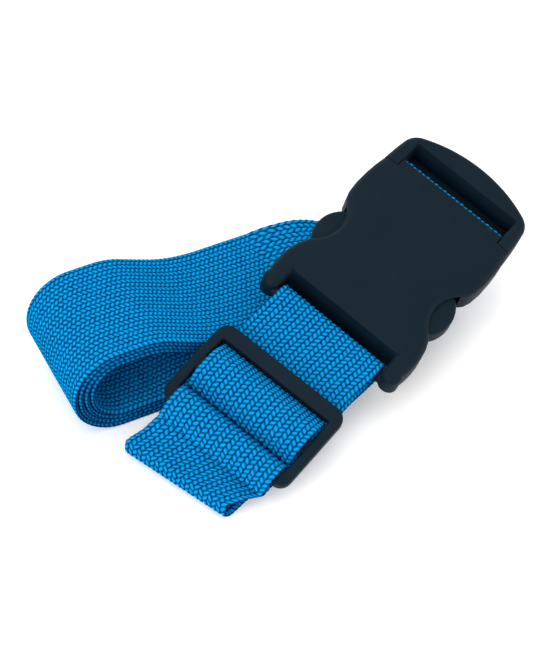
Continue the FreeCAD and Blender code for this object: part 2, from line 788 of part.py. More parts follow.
def stitches(label, rows, height, placement):
    """Rows of stitches across the webbing, hanging below height."""
    pitch = size("stitch_pitch")
    wide = size("thread_width")
    deep = size("thread_depth")
    long = 0.72 * pitch
    count = int((WIDTH - 2 * size("stitch_margin")) / pitch)
    threads = []
    for x in rows:
        for number in range(count):
            y = (number - (count - 1) / 2) * pitch
            corner = Vector(x - wide / 2, y - long / 2, height - deep)
            threads.append(Part.makeBox(wide, long, deep, corner))
    piece = doc.addObject("Part::Feature", label)
    piece.Shape = Part.makeCompound(threads)
    return keep(piece, label, placement)


row = size("row_pitch")
plug_rows = [tail_start + 3.0 + row * number for number in range(4)]
adjuster_rows = [size("lower_run_start") + 3.0 + row * number for number in range(3)]
stitches("plug_stitching", plug_rows, second_tail - THICK / 2, buckle)
stitches("adjuster_stitching", adjuster_rows, lower_depth - THICK / 2, adjuster)

# --------------------------------------------------- origin, checks and files

doc.recompute()
whole = FreeCAD.BoundBox()
for part in parts:
    whole.add(part.Shape.BoundBox)
shift = Vector(-whole.Center.x, -whole.Center.y, -whole.ZMin)
for part in parts:
    part.Placement = FreeCAD.Placement(shift, FreeCAD.Rotation()).multiply(part.Placement)
doc.recompute()

for item in doc.Objects:
    if "Invalid" in item.State or "Error" in item.State:
        raise RuntimeError(f"{item.Label} is {item.State}")
os.makedirs("parts", exist_ok=True)
for part in parts:
    if part.Shape.isNull() or not part.Shape.isValid():
        raise RuntimeError(f"{part.Label} has no valid shape")
for part in parts:
    part.Shape.exportStep(f"parts/{part.Label}.step")
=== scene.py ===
import math

import bmesh
import bpy
import numpy as np
from mathutils import Matrix, Vector


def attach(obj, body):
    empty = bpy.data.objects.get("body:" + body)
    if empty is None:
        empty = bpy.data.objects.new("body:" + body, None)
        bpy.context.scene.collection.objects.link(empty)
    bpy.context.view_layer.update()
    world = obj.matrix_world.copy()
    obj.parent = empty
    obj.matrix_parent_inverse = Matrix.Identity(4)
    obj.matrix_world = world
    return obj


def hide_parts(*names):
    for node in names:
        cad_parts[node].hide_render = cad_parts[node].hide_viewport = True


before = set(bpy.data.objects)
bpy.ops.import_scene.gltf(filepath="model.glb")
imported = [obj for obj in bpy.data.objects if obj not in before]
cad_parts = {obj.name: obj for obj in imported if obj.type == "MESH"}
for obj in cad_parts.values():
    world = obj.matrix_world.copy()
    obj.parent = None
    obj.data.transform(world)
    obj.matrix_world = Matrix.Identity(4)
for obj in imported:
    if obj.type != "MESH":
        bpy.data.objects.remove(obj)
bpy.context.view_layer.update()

# Luggage strap: woven webbing rolled flat, with a side-release buckle and a slide
# adjuster. Lengths are in millimetres until a mesh is made, and then in metres.

MM = 0.001
WIDTH = 50.0
THICK = 1.6
PITCH = 1.85
CLEAR = 0.3
FRAME_HIGH = 4.4
HIGH = 13.5
WALL = 2.2
# the weave: columns of knuckles across, rows along, and points of mesh in each
COLUMNS = 23
ROW = 2.0
PER_CELL = 4
PER_ROW = 3
SLANT = 0.55


def lie(x, y, z, azimuth, rise, fall):
    """A frame that points along azimuth, climbs by rise and drops to its right by fall."""
    turn = Matrix.Rotation(math.radians(azimuth), 4, "Z")
    climb = Matrix.Rotation(math.radians(-rise), 4, "Y")
    lean = Matrix.Rotation(math.radians(fall), 4, "X")
    return Matrix.Translation((x, y, z)) @ turn @ climb @ lean


BUCKLE = lie(2.259, -32.645, 33.0, 4.0, 7.0, 19.0)
ADJUSTER = lie(-49.141, -32.645, 21.0, 2.0, 13.0, 16.0)
ROLL = lie(-4.070, 9.093, 0.0, -21.0, 0.0, 0.0)


def srgb(text):
    """A linear colour from its hexadecimal sRGB value."""
    parts = [int(text[i : i + 2], 16) / 255 for i in (1, 3, 5)]
    linear = [p / 12.92 if p <= 0.04045 else ((p + 0.055) / 1.055) ** 2.4 for p in parts]
    return (*linear, 1.0)


def add(tree, kind, inputs, **settings):
    """A shader node; inputs maps a socket's name or number to a value or to another socket."""
    made = tree.nodes.new(kind)
    for key, value in settings.items():
        setattr(made, key, value)
    for key, value in inputs.items():
        if isinstance(value, bpy.types.NodeSocket):
            tree.links.new(value, made.inputs[key])
        else:
            made.inputs[key].default_value = value
    return made


def new_material(name):
    """An empty material, with its output node."""
    material = bpy.data.materials.new(name)
    material.use_nodes = True
    material.node_tree.nodes.clear()
    output = material.node_tree.nodes.new("ShaderNodeOutputMaterial")
    return material, material.node_tree, output


def new_object(name, mesh, material, smooth=True):
    """An object in the scene, shaded smooth."""
    mesh.materials.append(material)
    if smooth:
        mesh.polygons.foreach_set("use_smooth", [True] * len(mesh.polygons))
    made = bpy.data.objects.new(name, mesh)
    bpy.context.scene.collection.objects.link(made)
    return made


# ------------------------------------------------------------ webbing material
# Woven polypropylene: bright blue knuckles in staggered rows, with painted shade
# darkening the holes between them, each column slanting against the next, and a
# faint grain of fibres along each yarn. It is dull, with no sheen.

MATH = "ShaderNodeMath"
NOISE = "ShaderNodeTexNoise"
woven, tree, output = new_material("woven_polypropylene")
uv = add(tree, "ShaderNodeUVMap", {}, uv_map="weave")
cell = add(tree, "ShaderNodeSeparateXYZ", {0: uv.outputs[0]})
half_up = add(tree, MATH, {0: cell.outputs[0], 1: 0.5}, operation="ADD")
column = add(tree, MATH, {0: half_up.outputs[0]}, operation="FLOOR")
offset = add(tree, MATH, {0: cell.outputs[0], 1: column.outputs[0]}, operation="SUBTRACT")
across = add(tree, MATH, {0: offset.outputs[0], 1: math.pi}, operation="MULTIPLY")
column_wave = add(tree, MATH, {0: across.outputs[0]}, operation="COSINE")
column_height = add(tree, MATH, {0: column_wave.outputs[0], 1: 0.7}, operation="POWER")
half_column = add(
    tree, MATH, {0: column.outputs[0], 1: -0.5, 2: cell.outputs[1]},
    operation="MULTIPLY_ADD",
)
turn_angle = add(tree, MATH, {0: column.outputs[0], 1: math.pi}, operation="MULTIPLY")
side_way = add(tree, MATH, {0: turn_angle.outputs[0]}, operation="COSINE")
slant = add(tree, MATH, {0: offset.outputs[0], 1: side_way.outputs[0]}, operation="MULTIPLY")
slanted = add(
    tree, MATH, {0: slant.outputs[0], 1: SLANT, 2: half_column.outputs[0]},
    operation="MULTIPLY_ADD",
)
row_angle = add(tree, MATH, {0: slanted.outputs[0], 1: 2 * math.pi}, operation="MULTIPLY")
row_wave = add(tree, MATH, {0: row_angle.outputs[0]}, operation="COSINE")
row_height = add(tree, MATH, {0: row_wave.outputs[0], 1: 0.36, 2: 0.64}, operation="MULTIPLY_ADD")
knuckle = add(
    tree, MATH, {0: column_height.outputs[0], 1: row_height.outputs[0]},
    operation="MULTIPLY",
)
patches = add(tree, NOISE, {"Vector": uv.outputs[0], "Scale": 0.55, "Detail": 3.0})
yarns = add(tree, NOISE, {"Vector": uv.outputs[0], "Scale": 2.4, "Detail": 2.0})
fibre_stretch = add(
    tree, "ShaderNodeVectorMath", {0: uv.outputs[0], 1: (7.0, 1.3, 1.0)},
    operation="MULTIPLY",
)
fibres = add(tree, NOISE, {"Vector": fibre_stretch.outputs[0], "Scale": 1.0, "Detail": 1.0})
stranded = add(
    tree, MATH, {0: fibres.outputs[0], 1: 0.5, 2: knuckle.outputs[0]},
    operation="MULTIPLY_ADD",
)
mixed = add(
    tree, MATH, {0: yarns.outputs[0], 1: 0.3, 2: stranded.outputs[0]},
    operation="MULTIPLY_ADD",
)
levelled = add(
    tree, MATH, {0: patches.outputs[0], 1: 0.2, 2: mixed.outputs[0]},
    operation="MULTIPLY_ADD",
)
scaled = add(tree, MATH, {0: levelled.outputs[0], 1: 0.72}, operation="MULTIPLY")
# painted shade: a low knuckle height darkens the colour in the holes between knuckles; the yarn,
# fibre and patch noise is the webbing's own tone
yarn_tone_and_hole_shade = add(tree, "ShaderNodeValToRGB", {0: scaled.outputs[0]})
yarn_tone_and_hole_shade.color_ramp.elements[0].position = 0.46
yarn_tone_and_hole_shade.color_ramp.elements[0].color = srgb("#04234C")
yarn_tone_and_hole_shade.color_ramp.elements[1].position = 0.92
yarn_tone_and_hole_shade.color_ramp.elements[1].color = srgb("#0692CF")
middle = yarn_tone_and_hole_shade.color_ramp.elements.new(0.68)
middle.color = srgb("#0069A6")
surface = add(
    tree, MATH, {0: fibres.outputs[0], 1: 0.25, 2: knuckle.outputs[0]},
    operation="MULTIPLY_ADD",
)
bump = add(
    tree, "ShaderNodeBump", {"Strength": 0.4, "Distance": 0.0003, "Height": surface.outputs[0]},
)
cloth = add(
    tree,
    "ShaderNodeBsdfPrincipled",
    {
        "Base Color": yarn_tone_and_hole_shade.outputs[0],
        "Roughness": 0.65,
        "Specular IOR Level": 0.0,
        "Normal": bump.outputs[0],
    },
)
tree.links.new(cloth.outputs[0], output.inputs[0])

# ---------------------------------------------------------- plastic material
# Moulded acetal in near-black navy: a fine spark-eroded grain, satin, with
# slightly duller patches where it has been handled.

moulded, tree, output = new_material("moulded_acetal")
place = add(tree, "ShaderNodeTexCoord", {})
grain = add(tree, NOISE, {"Vector": place.outputs["Object"], "Scale": 2600.0, "Detail": 2.0})
handled = add(tree, NOISE, {"Vector": place.outputs["Object"], "Scale": 60.0, "Detail": 3.0})
dullness = add(tree, "ShaderNodeMapRange", {0: handled.outputs[0], 3: 0.48, 4: 0.60})
bump = add(
    tree, "ShaderNodeBump", {"Strength": 0.6, "Distance": 0.0001, "Height": grain.outputs[0]}
)
tint = add(
    tree, "ShaderNodeMix", {0: handled.outputs[0], 6: srgb("#07161F"), 7: srgb("#0C1E28")},
    data_type="RGBA",
)
plastic = add(
    tree,
    "ShaderNodeBsdfPrincipled",
    {
        "Base Color": tint.outputs[2],
        "Roughness": dullness.outputs[0],
        "Specular IOR Level": 0.08,
        "Normal": bump.outputs[0],
    },
)
tree.links.new(plastic.outputs[0], output.inputs[0])

# ----------------------------------------------------------- thread material
# Spun polyester thread, a little darker than the webbing, dull.

thread, tree, output = new_material("spun_polyester_thread")
twist = add(tree, NOISE, {"Scale": 1800.0, "Detail": 1.0})
bump = add(
    tree, "ShaderNodeBump", {"Strength": 0.3, "Distance": 0.0001, "Height": twist.outputs[0]}
)
yarn = add(
    tree, "ShaderNodeBsdfPrincipled",
    {"Base Color": srgb("#0A5FA8"), "Roughness": 0.75, "Normal": bump.outputs[0]},
)
tree.links.new(yarn.outputs[0], output.inputs[0])

# ------------------------------------------------------------ webbing stretches


def path(points, radii):
    """Points and directions, close together, along straight runs joined by tangent arcs."""
    route = [Vector((x, z)) for x, z in points]
    ways = [(b - a).normalized() for a, b in zip(route, route[1:])]
    spots = [(route[0], ways[0])]
    for i, radius in enumerate(radii, start=1):
        before, after = ways[i - 1], ways[i]
        turn = before.x * after.y - before.y * after.x
        angle = before.angle(after)
        tangent = radius * math.tan(angle / 2)
        hand = 1 if turn > 0 else -1
        first = route[i] - before * tangent
        centre = first + Vector((-before.y, before.x)) * (hand * radius)
        steps = max(2, int(angle * radius / 0.4))
        for step in range(steps + 1):
            spin = Matrix.Rotation(hand * angle * step / steps, 2)
            spots.append((centre + spin @ (first - centre), spin @ before))
    spots.append((route[-1], ways[-1]))
    return spots


def evenly(centres, others):
    """The same course resampled in equal steps, a third of a row long."""
    legs = np.linalg.norm(np.diff(centres, axis=0), axis=1)
    reached = np.concatenate([[0.0], np.cumsum(legs)])
    length = reached[-1]
    steps = max(4, round(length / (ROW / PER_ROW)))
    wanted = np.linspace(0.0, length, steps + 1)

    def at(values):
        return np.stack([np.interp(wanted, reached, values[:, k]) for k in range(3)], axis=1)

    return at(centres), [at(values) for values in others], length


ACROSS = np.linspace(-WIDTH / 2, WIDTH / 2, COLUMNS * PER_CELL + 1)


def spread(centres, lefts, ups):
    """The middle surface [along][across] of a stretch, and its outward normals."""
    ups = ups / np.linalg.norm(ups, axis=1)[:, None]
    lefts = lefts / np.linalg.norm(lefts, axis=1)[:, None]
    middle = centres[:, None, :] + lefts[:, None, :] * ACROSS[None, :, None]
    return middle, np.repeat(ups[:, None, :], len(ACROSS), axis=1)


def straight(points, radii, placed):
    """A stretch that stays square to its route, which is in the frame's x and z."""
    spots = path(points, radii)
    centres = np.array([placed @ Vector((p.x, 0.0, p.y)) for p, _ in spots])
    turn = placed.to_3x3()
    ups = np.array([turn @ Vector((-w.y, 0.0, w.x)) for _, w in spots])
    lefts = np.array([turn @ Vector((0.0, 1.0, 0.0)) for _ in spots])
    centres, (ups, lefts), length = evenly(centres, (ups, lefts))
    middle, normals = spread(centres, lefts, ups)
    return middle, normals, length


PER_SPAN = 12


def twisted(frames):
    """A stretch that passes smoothly through a series of frames, square to each."""
    points = [f.to_translation() for f in frames]
    points = [points[0] * 2 - points[1]] + points + [points[-1] * 2 - points[-2]]
    turns = [f.to_quaternion() for f in frames]
    centres, lefts, ups = [], [], []
    for i in range(len(frames) - 1):
        a, b, c, d = points[i : i + 4]
        for step in range(PER_SPAN):
            t = step / PER_SPAN
            bend = 2 * a - 5 * b + 4 * c - d
            twist_rate = 3 * b - a - 3 * c + d
            spot = 0.5 * (2 * b + (c - a) * t + bend * t**2 + twist_rate * t**3)
            turn = turns[i].slerp(turns[i + 1], t).to_matrix()
            centres.append(spot)
            lefts.append(turn @ Vector((0.0, 1.0, 0.0)))
            ups.append(turn @ Vector((0.0, 0.0, 1.0)))
    centres.append(points[-2])
    lefts.append(turns[-1].to_matrix() @ Vector((0.0, 1.0, 0.0)))
    ups.append(turns[-1].to_matrix() @ Vector((0.0, 0.0, 1.0)))
    centres, (lefts, ups), length = evenly(np.array(centres), (np.array(lefts), np.array(ups)))
    middle, normals = spread(centres, lefts, ups)
    return middle, normals, length


RELIEF = 0.34
FRAY = 0.12
# how high a knuckle stands at its lowest, as a share, and how the edges thin out
KNUCKLE_BASE = 0.3
EDGE_TAPER = np.array([0.25, 0.72, 0.95, 1.0])


def webbing(name, stretch, start):
    """A closed sheet with the weave in relief on both faces and along both edges.

    start is the length of webbing that comes before, so that the rows run on.
    """
    middle, normals, length = stretch
    rows, points = middle.shape[:2]
    u = np.linspace(0.5, COLUMNS + 0.5, points)[None, :].repeat(rows, axis=0)
    v = (start + np.linspace(0.0, length, rows))[:, None].repeat(points, axis=1) / ROW
    column = np.floor(u + 0.5)
    rounded = np.cos(math.pi * (u - column)) ** 2
    phase = v - 0.5 * column + SLANT * (u - column) * np.cos(math.pi * column)
    wave = 0.5 * np.cos(2 * math.pi * phase)
    over = KNUCKLE_BASE + (1.0 - KNUCKLE_BASE) * (0.5 + wave)
    under = KNUCKLE_BASE + (1.0 - KNUCKLE_BASE) * (0.5 - wave)
    edge = np.minimum(np.arange(points), np.arange(points)[::-1])
    taper = EDGE_TAPER[np.minimum(edge, len(EDGE_TAPER) - 1)][None, :]
    top = (THICK / 2 - RELIEF / 2 + RELIEF * rounded * over) * taper
    bottom = (THICK / 2 - RELIEF / 2 + RELIEF * rounded * under) * taper
    lean = middle[:, -1] - middle[:, 0]
    lean = lean / np.linalg.norm(lean, axis=1)[:, None]
    fray = FRAY * np.cos(2 * math.pi * v[:, 0])
    outer = middle.copy()
    outer[:, 0] -= lean * fray[:, None]
    outer[:, -1] += lean * fray[:, None]
    upper = outer + normals * top[:, :, None]
    lower = outer - normals * bottom[:, :, None]
    vertices = np.concatenate([upper.reshape(-1, 3), lower.reshape(-1, 3)]) * MM
    index = np.arange(rows * points).reshape(rows, points)
    below = index + rows * points
    a, b, c, d = index[:-1, :-1], index[1:, :-1], index[1:, 1:], index[:-1, 1:]
    faces = [np.stack([a, b, c, d], axis=-1).reshape(-1, 4)]
    a, b, c, d = below[:-1, :-1], below[:-1, 1:], below[1:, 1:], below[1:, :-1]
    faces.append(np.stack([a, b, c, d], axis=-1).reshape(-1, 4))
    rims = (
        (index[:, 0], below[:, 0]), (below[:, -1], index[:, -1]),
        (below[0], index[0]), (index[-1], below[-1]),
    )
    for one, two in rims:
        faces.append(np.stack([one[:-1], two[:-1], two[1:], one[1:]], axis=-1))
    faces = np.concatenate(faces)
    mesh = bpy.data.meshes.new(name)
    mesh.from_pydata(vertices.tolist(), [], faces.tolist())
    layer = mesh.uv_layers.new(name="weave")
    across = np.concatenate([u.ravel(), u.ravel()])
    along_it = np.concatenate([v.ravel(), v.ravel() + 0.5])
    places = np.stack([across, along_it], axis=1)
    corners = np.empty(len(mesh.loops), dtype=np.int32)
    mesh.loops.foreach_get("vertex_index", corners)
    layer.data.foreach_set("uv", places[corners].ravel())
    check = bmesh.new()
    check.from_mesh(mesh)
    bmesh.ops.recalc_face_normals(check, faces=check.faces)
    check.to_mesh(mesh)
    check.free()
    made = new_object(name, mesh, woven)
    return made, start + length


# The roll: four laps inside each other. Their far edges stand a little higher
# than their near edges, because the buckle's weight presses on the near side.

ROLL_WAY = math.radians(-21.0)
LEFT = -87.2
RIGHT = 50.0
SHOULDER = (-25.0, 26.0 - THICK / 2)
TOP = 39.6 - THICK / 2
END_TOP = 17.8 - THICK / 2
SLOPE_END = 58.0
FALL = (SHOULDER[1] - END_TOP) / (SLOPE_END - SHOULDER[0])
OVER_FLOOR_RUN = THICK + CLEAR
CREST_X = -52.2
RAMP_END = -41.2
OUTER_END = 8.0
LAP_STEP = 2.4


def heading(angle):
    """A level direction."""
    return Vector((math.cos(angle), math.sin(angle), 0.0))


FAR_LIFT = 6.0
UNDER_RUN = 14.0


def far_edge_up(stretch, rows):
    """Lift the far edge of a stretch's upper run, up to that row, most of it by the buckle."""
    middle, normals, length = stretch
    x = (middle - np.array(ROLL.to_translation())) @ np.array(heading(ROLL_WAY))
    rise = np.clip((x + 56.0) / 92.0, 0.0, 1.0)
    fall = np.clip((50.0 - x) / 24.0, 0.0, 1.0)
    swell = rise**2 * (3 - 2 * rise) * fall**2 * (3 - 2 * fall)
    share = ((ACROSS + WIDTH / 2) / WIDTH)[None, :] ** 1.3
    upper = (middle[:, :, 2] > UNDER_RUN) & (np.arange(len(middle))[:, None] < rows)
    middle[:, :, 2] += np.where(upper, FAR_LIFT * swell * share, 0.0)
    return middle, normals, length


def above(x, lap):
    """Height of a lap's upper surface line at x, right of the shoulder."""
    return END_TOP + FALL * (SLOPE_END - x) - lap * PITCH


along = 0.0
for lap in range(4):
    high = TOP - lap * PITCH
    low = THICK / 2 + lap * PITCH
    lap_left = LEFT + THICK / 2 + lap * LAP_STEP
    lap_right = (RIGHT if lap else OUTER_END) + CLEAR
    loop = (high - low) / 2 - 0.3
    raised = low + OVER_FLOOR_RUN
    points = [
        (lap_right, above(lap_right, lap)), (SHOULDER[0], SHOULDER[1] - lap * PITCH),
        (CREST_X, high), (lap_left, high), (lap_left, low), (CREST_X, low),
        (RAMP_END, raised), (RIGHT, raised),
    ]
    radii = [60, 25, loop, loop, 20, 20]
    nodes = [f"roll_lap_{lap + 1}"]
    if lap == 3:
        bight = RIGHT + 2.4
        points[-1:] = [(bight, raised), (bight, raised - PITCH), (RIGHT, raised - PITCH)]
        radii += [PITCH / 2 - 0.02] * 2
        nodes.append("roll_bight")
    upper_rows = 0.45 * (lap_right - LEFT) / ROW * PER_ROW * 2
    stretch = far_edge_up(straight(points, radii, ROLL), upper_rows)
    piece, along = webbing(f"webbing_{nodes[0]}", stretch, along)
    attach(piece, "webbing")
    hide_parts(*nodes)

# The turns at the right-hand end of the roll, laps 1 to 3 and 2 to 4.

bends = (("roll_bend_outer", 0, 2, 10.2), ("roll_bend_inner", 1, 3, 7.4))
for node, lower, upper, reach in bends:
    start_z = THICK / 2 + OVER_FLOOR_RUN + lower * PITCH
    end_z = above(RIGHT, upper)
    bend = (end_z - start_z) / 2 - 0.2
    stretch = straight(
        [(RIGHT, start_z), (RIGHT + reach, start_z), (RIGHT + reach, end_z), (RIGHT, end_z)],
        [bend, bend],
        ROLL,
    )
    piece, along = webbing(f"webbing_{node}", stretch, along)
    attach(piece, "webbing")
    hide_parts(node)

# Lap 2 goes on to the right, turns over a slanting crease and comes back on the
# floor below. Folding leaves the cloth's own lengths unchanged.

FLOOR_WAY = math.radians(183.0)
CREASE = (ROLL_WAY + FLOOR_WAY) / 2
FOLD = Vector((-84.741, -26.145, 0.0))

fold_low = THICK / 2
fold_high = above(RIGHT, 1)
fold_round = (fold_high - fold_low) / 2
crease_way = heading(CREASE)
outward = heading(CREASE - math.pi / 2)
skew = math.pi / 2 - (CREASE - ROLL_WAY)
drift = math.pi * fold_round * math.tan(skew)
run_side = heading(FLOOR_WAY + math.pi / 2)
roll_base = ROLL.to_translation()
gap_to_run = (FOLD - roll_base - crease_way * drift).dot(run_side)
bend_start = roll_base + heading(ROLL_WAY) * (gap_to_run / heading(ROLL_WAY).dot(run_side))
lap_end = ROLL @ Vector((RIGHT + CLEAR, 0.0, 0.0))
to_bend = (bend_start - lap_end).dot(heading(ROLL_WAY))
round_length = math.pi * fold_round / math.cos(skew)
FOLD_SETBACK = 3.0
past_crease = (FOLD - bend_start - crease_way * drift).dot(heading(FLOOR_WAY))
floor_end = to_bend + round_length + past_crease - FOLD_SETBACK


def folded(first, last):
    """The strip between two lengths from lap 2's end, wrapped round the slanting crease."""
    steps = max(4, round((last - first) / (ROW / PER_ROW)))
    s = np.linspace(first, last, steps + 1)[:, None, None]
    w = ACROSS[None, :, None]
    ahead = np.array(heading(ROLL_WAY))
    left = np.array(heading(ROLL_WAY + math.pi / 2))
    flat = np.array(lap_end) + ahead * s + left * w - np.array(bend_start)
    p = flat @ np.array(crease_way)
    q = flat @ np.array(outward)
    angle = np.clip(q / fold_round, 0.0, math.pi)
    past = np.where(q < 0, q, np.where(q > math.pi * fold_round, math.pi * fold_round - q, 0.0))
    out = fold_round * np.sin(angle) + past
    height = fold_low + fold_round + fold_round * np.cos(angle)
    level = p[:, :, None] * np.array(crease_way) + out[:, :, None] * np.array(outward)
    middle = np.array(bend_start) + level
    middle[:, :, 2] = height
    normals = np.sin(angle)[:, :, None] * np.array(outward)
    normals[:, :, 2] = np.cos(angle)
    return middle, normals, last - first


floor_split = to_bend + round_length + 8.0
halves = (("floor_bend", 0.0, floor_split), ("floor_run", floor_split, floor_end))
for node, first, last in halves:
    piece, along = webbing(f"webbing_{node}", folded(first, last), along)
    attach(piece, "webbing")
    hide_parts(node)

# The fold at the free end of the floor run: up, over and back to the adjuster.

STRAP_DEPTH = -(FRAME_HIGH / 2 + CLEAR + THICK / 2)
FOLD_ROUND = 3.8
UPPER_START = -24.0
LOWER_START = -15.0
joined = ADJUSTER @ Vector((UPPER_START, 0.0, STRAP_DEPTH))
run_end = FOLD - heading(FLOOR_WAY) * FOLD_SETBACK
fold_centre = Vector((run_end.x, run_end.y, THICK / 2 + FOLD_ROUND))
frames = []
for angle in (0, 30, 60, 90, 120, 145):
    turn = math.radians(angle)
    at = fold_centre + heading(FLOOR_WAY) * (FOLD_ROUND * math.sin(turn))
    at.z -= FOLD_ROUND * math.cos(turn)
    frames.append(lie(at.x, at.y, at.z, 183.0, angle, 0.0))
middle_at = fold_centre * 0.55 + joined * 0.45 + Vector((0.0, 0.0, 1.0))
frames.append(lie(middle_at.x, middle_at.y, middle_at.z, 182.5, 160.0, 5.0))
frames.append(lie(joined.x, joined.y, joined.z, 182.0, 167.0, 16.0))
piece, along = webbing("webbing_end_fold", twisted(frames), along)
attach(piece, "webbing")
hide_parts("end_fold")

# Two layers from the adjuster to the buckle's bar, and the turn round the bar.

BAR_X = -8.6
BAR_Z = -HIGH / 2
BAR_ROUND = 2.6
WRAP = BAR_ROUND + CLEAR + THICK / 2
MEET = BAR_X - WRAP - 0.6
lower_depth = STRAP_DEPTH - PITCH


def to_bar(first, depth, bar_side, aside):
    """A layer's frames from the adjuster to where it meets the turn round the bar."""
    spots = [(x, depth) for x in (first, first + 15.0, 8.0, 26.5)]
    placed = [ADJUSTER @ Matrix.Translation((x, aside, z)) for x, z in spots]
    meet = Matrix.Translation((MEET, 0.0, BAR_Z + bar_side * WRAP))
    return placed + [BUCKLE @ meet]


stretch = twisted(to_bar(UPPER_START, STRAP_DEPTH, 1, 0.0))
piece, along = webbing("webbing_upper_run", stretch, along)
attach(piece, "webbing")
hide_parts("upper_run")

wrap_route = [
    (MEET, BAR_Z + WRAP), (BAR_X + WRAP, BAR_Z + WRAP),
    (BAR_X + WRAP, BAR_Z - WRAP), (MEET, BAR_Z - WRAP),
]
stretch = straight(wrap_route, [WRAP - 0.01] * 2, BUCKLE)
piece, along = webbing("webbing_bar_wrap", stretch, along)
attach(piece, "webbing")
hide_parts("bar_wrap")

stretch = twisted(to_bar(LOWER_START, lower_depth, -1, -1.2))
piece, along = webbing("webbing_lower_run", stretch, along)
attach(piece, "webbing")
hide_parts("lower_run")

# The webbing threaded through the adjuster: one hump over the centre bar and one
# over the lower bar, with a narrow groove between them.

OVER_BAR = FRAME_HIGH / 2 + CLEAR + THICK / 2
FOOT = -1.6
humps = {
    "centre_hump": (
        [(12.4, FOOT), (5.6, OVER_BAR + 1.0), (-4.8, OVER_BAR + 0.8), (-8.7, FOOT)],
        [6.0, 4.4],
    ),
    "end_hump": (
        [(-10.6, FOOT), (-13.8, OVER_BAR + 0.5), (-20.4, OVER_BAR + 0.4), (-25.2, FOOT + 0.4)],
        [3.0, 4.2],
    ),
}
for node, (points, radii) in humps.items():
    piece, along = webbing(f"webbing_{node}", straight(points, radii, ADJUSTER), along)
    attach(piece, "adjuster")
    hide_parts(node)

# The sewn loop round the plug's bar, both strands leaving below the shell.

CROSS_X = 68.0
CROSS_DROP = 0.6
CROSS_Z = -(HIGH / 2 + CROSS_DROP)
CROSS_ROUND = 2.8
LOOP = CROSS_ROUND + CLEAR + THICK / 2
LOOP_OUT = CROSS_X + LOOP + 1.0
LOOP_RISE = 1.5
TAIL_START = 42.0
TAIL = -HIGH - 0.6 - THICK / 2
SECOND_TAIL = TAIL - THICK - 0.05
loop_route = [
    (TAIL_START, TAIL), (CROSS_X - LOOP, TAIL), (CROSS_X - LOOP, CROSS_Z + LOOP),
    (CROSS_X + 1.4, CROSS_Z + LOOP), (LOOP_OUT, CROSS_Z + LOOP + LOOP_RISE),
    (LOOP_OUT, SECOND_TAIL), (TAIL_START, SECOND_TAIL),
]
stretch = straight(loop_route, [2.5, LOOP - 0.02, 3.0, 1.5, 3.5], BUCKLE)
piece, along = webbing("webbing_plug_loop", stretch, along)
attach(piece, "plug")
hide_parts("plug_loop")

# The slack stretch from the roll's outer lap to the sewn loop.

LEAD_STEPS = 8
BUCKLE_LEAN = 19.0
begin = ROLL @ Vector((OUTER_END, 0.0, above(OUTER_END, 0)))
finish = BUCKLE @ Vector((TAIL_START, 0.0, (TAIL + SECOND_TAIL) / 2))
pull = 0.9 * (finish - begin).length
begin_way = heading(ROLL_WAY) * pull + Vector((0.0, 0.0, 0.16 * pull))
finish_way = BUCKLE.to_3x3() @ Vector((pull, 0.0, 0.0))
frames = []
for step in range(LEAD_STEPS + 1):
    t = step / LEAD_STEPS
    at = begin * (2 * t**3 - 3 * t**2 + 1) + finish * (3 * t**2 - 2 * t**3)
    at += begin_way * (t**3 - 2 * t**2 + t) + finish_way * (t**3 - t**2)
    way = begin * (6 * t**2 - 6 * t) + finish * (6 * t - 6 * t**2)
    way += begin_way * (3 * t**2 - 4 * t + 1) + finish_way * (3 * t**2 - 2 * t)
    azimuth = math.degrees(math.atan2(way.y, way.x))
    rise = math.degrees(math.asin(way.z / way.length))
    frames.append(lie(at.x, at.y, at.z, azimuth, rise, BUCKLE_LEAN * (3 * t**2 - 2 * t**3)))
stretch = twisted(frames)
piece, along = webbing("webbing_lead_in", far_edge_up(stretch, len(stretch[0])), along)
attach(piece, "webbing")
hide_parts("lead_in")

# ---------------------------------------------------------------- stitching
# Lock stitches across the sewn ends, each a short rounded length of thread.


STITCH_PITCH = 3.2
STITCH_MARGIN = 3.0
STITCH = Matrix.Diagonal((0.26, 1.25, 0.2, 1.0))


def stitching(name, rows, height, placed):
    """Rows of stitches across the webbing, just below height."""
    made = bmesh.new()
    count = int((WIDTH - 2 * STITCH_MARGIN) / STITCH_PITCH)
    for x in rows:
        for number in range(count):
            y = (number - (count - 1) / 2) * STITCH_PITCH
            lay = Matrix.Translation((x, y, height - 0.12)) @ STITCH
            bmesh.ops.create_icosphere(made, subdivisions=2, radius=1.0, matrix=lay)
    made.transform(placed)
    bmesh.ops.scale(made, vec=(MM, MM, MM), verts=made.verts)
    mesh = bpy.data.meshes.new(name)
    made.to_mesh(mesh)
    made.free()
    return new_object(name, mesh, thread)


piece = stitching("thread_plug", (45.0, 49.0, 53.0, 57.0), SECOND_TAIL - THICK / 2, BUCKLE)
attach(piece, "plug")
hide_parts("plug_stitching")
piece = stitching("thread_adjuster", (-12.0, -8.0, -4.0), lower_depth - THICK / 2, ADJUSTER)
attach(piece, "adjuster")
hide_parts("adjuster_stitching")

# ------------------------------------------------------------ moulded plastic


def arc(centre, radius, first, last, steps):
    """Points on an arc, from one angle in degrees to another."""
    angles = np.radians(np.linspace(first, last, steps + 1))
    return [(centre[0] + radius * math.cos(a), centre[1] + radius * math.sin(a)) for a in angles]


